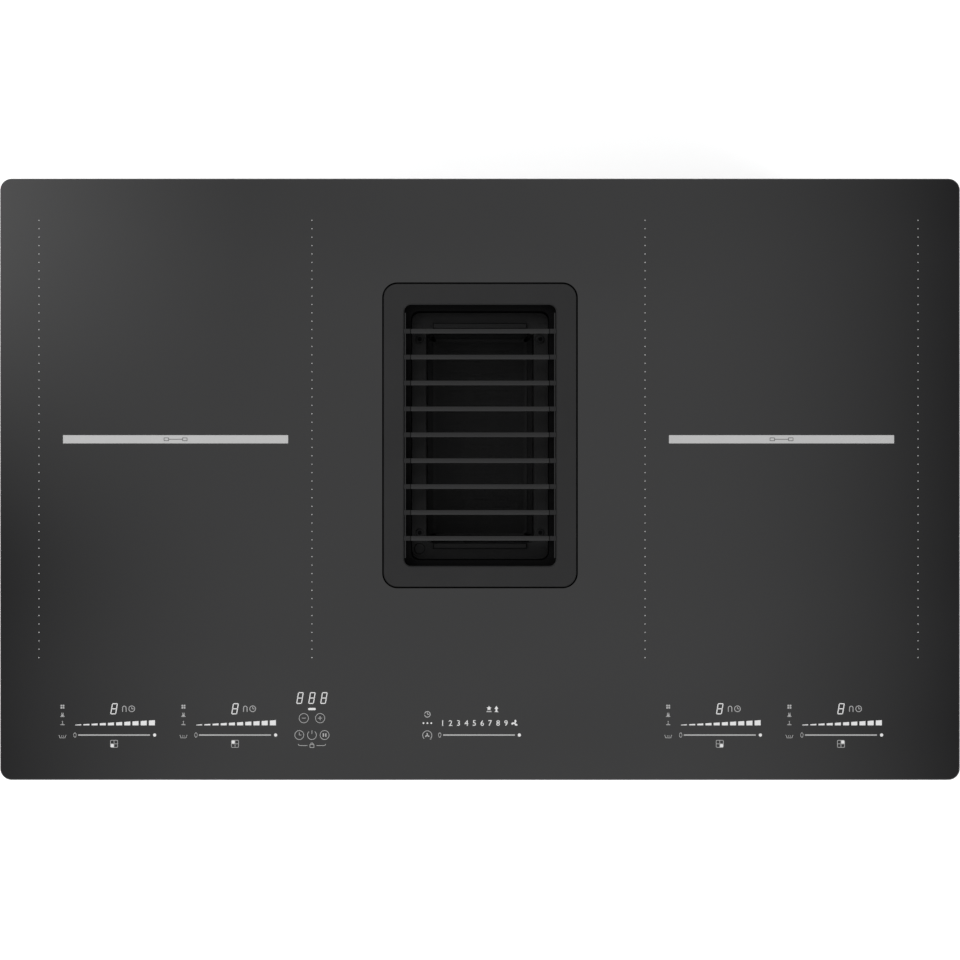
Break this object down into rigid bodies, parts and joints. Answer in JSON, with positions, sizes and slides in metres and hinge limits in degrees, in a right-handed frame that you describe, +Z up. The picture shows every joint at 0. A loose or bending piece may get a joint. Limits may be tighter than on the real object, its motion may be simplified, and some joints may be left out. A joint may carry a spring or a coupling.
{
  "type": "downdraft induction cooktop",
  "caption": "Wide black-glass built-in induction cooktop with touch sliders and a central slatted intake that draws cooking steam down through a lift-out filter into a flat blower housing.",
  "frame": {"origin": "flat underside of the blower housing, below the centre of the glass", "axes": "+X to the cook's right, +Y away from the cook, +Z up"},
  "size_m": [0.83, 0.52, 0.21],
  "materials": {
    "black_glass": "polished ceramic glass",
    "foam_tape": "closed-cell foam",
    "zinc_steel": "galvanised sheet",
    "spring_steel": "satin",
    "steel_screw": "zinc plated",
    "black_casting": "fine satin black coat",
    "black_plastic": "fine grain",
    "grey_plastic": "fine grain",
    "cream_plastic": "smooth",
    "white_block": "moulded",
    "filter_steel": "perforated",
    "dark_steel": "satin",
    "rubber": "matt",
    "copper": "enamelled litz wire",
    "ferrite": "sintered",
    "mica": "flaked",
    "sensor_white": "smooth",
    "aluminium": "mill finish",
    "board_green": "solder mask",
    "board_parts": "moulded cases",
    "display": "dark red filter",
    "brass": "bright",
    "black_can": "zinc coat, black"
  },
  "bodies": {
    "hob": {"blower_housing": "black_plastic", "board_parts_left": "board_parts", "board_parts_right": "board_parts", "board_spacers": "brass", "cable_gland": "black_plastic", "case_screws": "steel_screw", "coil_formers": "cream_plastic", "coil_left_front": "copper", "coil_left_rear": "copper", "coil_plate_left": "aluminium", "coil_plate_right": "aluminium", "coil_right_front": "copper", "coil_right_rear": "copper", "control_board": "board_green", "control_carrier": "black_plastic", "display_blocks": "display", "fan_case_left": "black_plastic", "fan_case_right": "black_plastic", "ferrite_bars": "ferrite", "glass_plate": "black_glass", "glass_rails": "zinc_steel", "heat_sink_left": "aluminium", "heat_sink_right": "aluminium", "hob_case": "zinc_steel", "housing_screws": "steel_screw", "intake_throat": "black_plastic", "isolator_screws": "steel_screw", "isolators": "rubber", "mica_sheets": "mica", "motor_base": "aluminium", "motor_bearings": "steel_screw", "outlet_spout": "grey_plastic", "pan_sensors": "sensor_white", "power_board_left": "board_green", "power_board_right": "board_green", "scroll_body": "grey_plastic", "scroll_cover": "grey_plastic", "spring_clips": "spring_steel", "stator_coils": "copper", "stator_core": "dark_steel", "terminal_block": "white_block", "terminal_box": "black_plastic", "terminal_screws": "steel_screw", "touch_springs": "brass", "worktop_tape": "foam_tape"},
    "drip_tray": {"drip_tray": "grey_plastic"},
    "filter_cassette": {"cassette_frame": "black_plastic", "cassette_panels": "filter_steel", "cassette_screws": "dark_steel", "cassette_grips": "dark_steel", "filter_magnet": "black_plastic"},
    "grille": {"intake_grille": "black_casting", "grille_pads": "rubber"},
    "blower_rotor": {"blower_wheel": "black_plastic", "motor_can": "black_can", "motor_shaft": "steel_screw", "wheel_nut": "brass"},
    "fan_rotor_left": {"fan_wheel_left": "grey_plastic"},
    "fan_rotor_right": {"fan_wheel_right": "grey_plastic"},
    "terminal_door": {"terminal_cover": "black_plastic"}
  },
  "joints": [
    {"name": "drip_tray_lift", "type": "slide", "parent": "hob", "child": "drip_tray", "axis": [0, 0, 1], "range_m": [0, 0.26]},
    {"name": "cassette_lift", "type": "slide", "parent": "drip_tray", "child": "filter_cassette", "axis": [0, 0, 1], "range_m": [0, 0.16]},
    {"name": "grille_lift", "type": "slide", "parent": "filter_cassette", "child": "grille", "axis": [0, 0, 1], "range_m": [0, 0.1]},
    {"name": "blower_spin", "type": "hinge", "parent": "hob", "child": "blower_rotor", "pos_m": [0.183, -0.005, 0.0175], "axis": [0, 0, 1], "continuous": true},
    {"name": "fan_left_spin", "type": "hinge", "parent": "hob", "child": "fan_rotor_left", "pos_m": [-0.2633, 0.1328, 0.164], "axis": [0, 0, 1], "continuous": true},
    {"name": "fan_right_spin", "type": "hinge", "parent": "hob", "child": "fan_rotor_right", "pos_m": [0.2633, 0.1328, 0.164], "axis": [0, 0, 1], "continuous": true},
    {"name": "terminal_cover_hinge", "type": "hinge", "parent": "hob", "child": "terminal_door", "pos_m": [-0.268, 0.1194, 0.1172], "axis": [-1, 0, 0], "range_deg": [0, 100]}
  ]
}
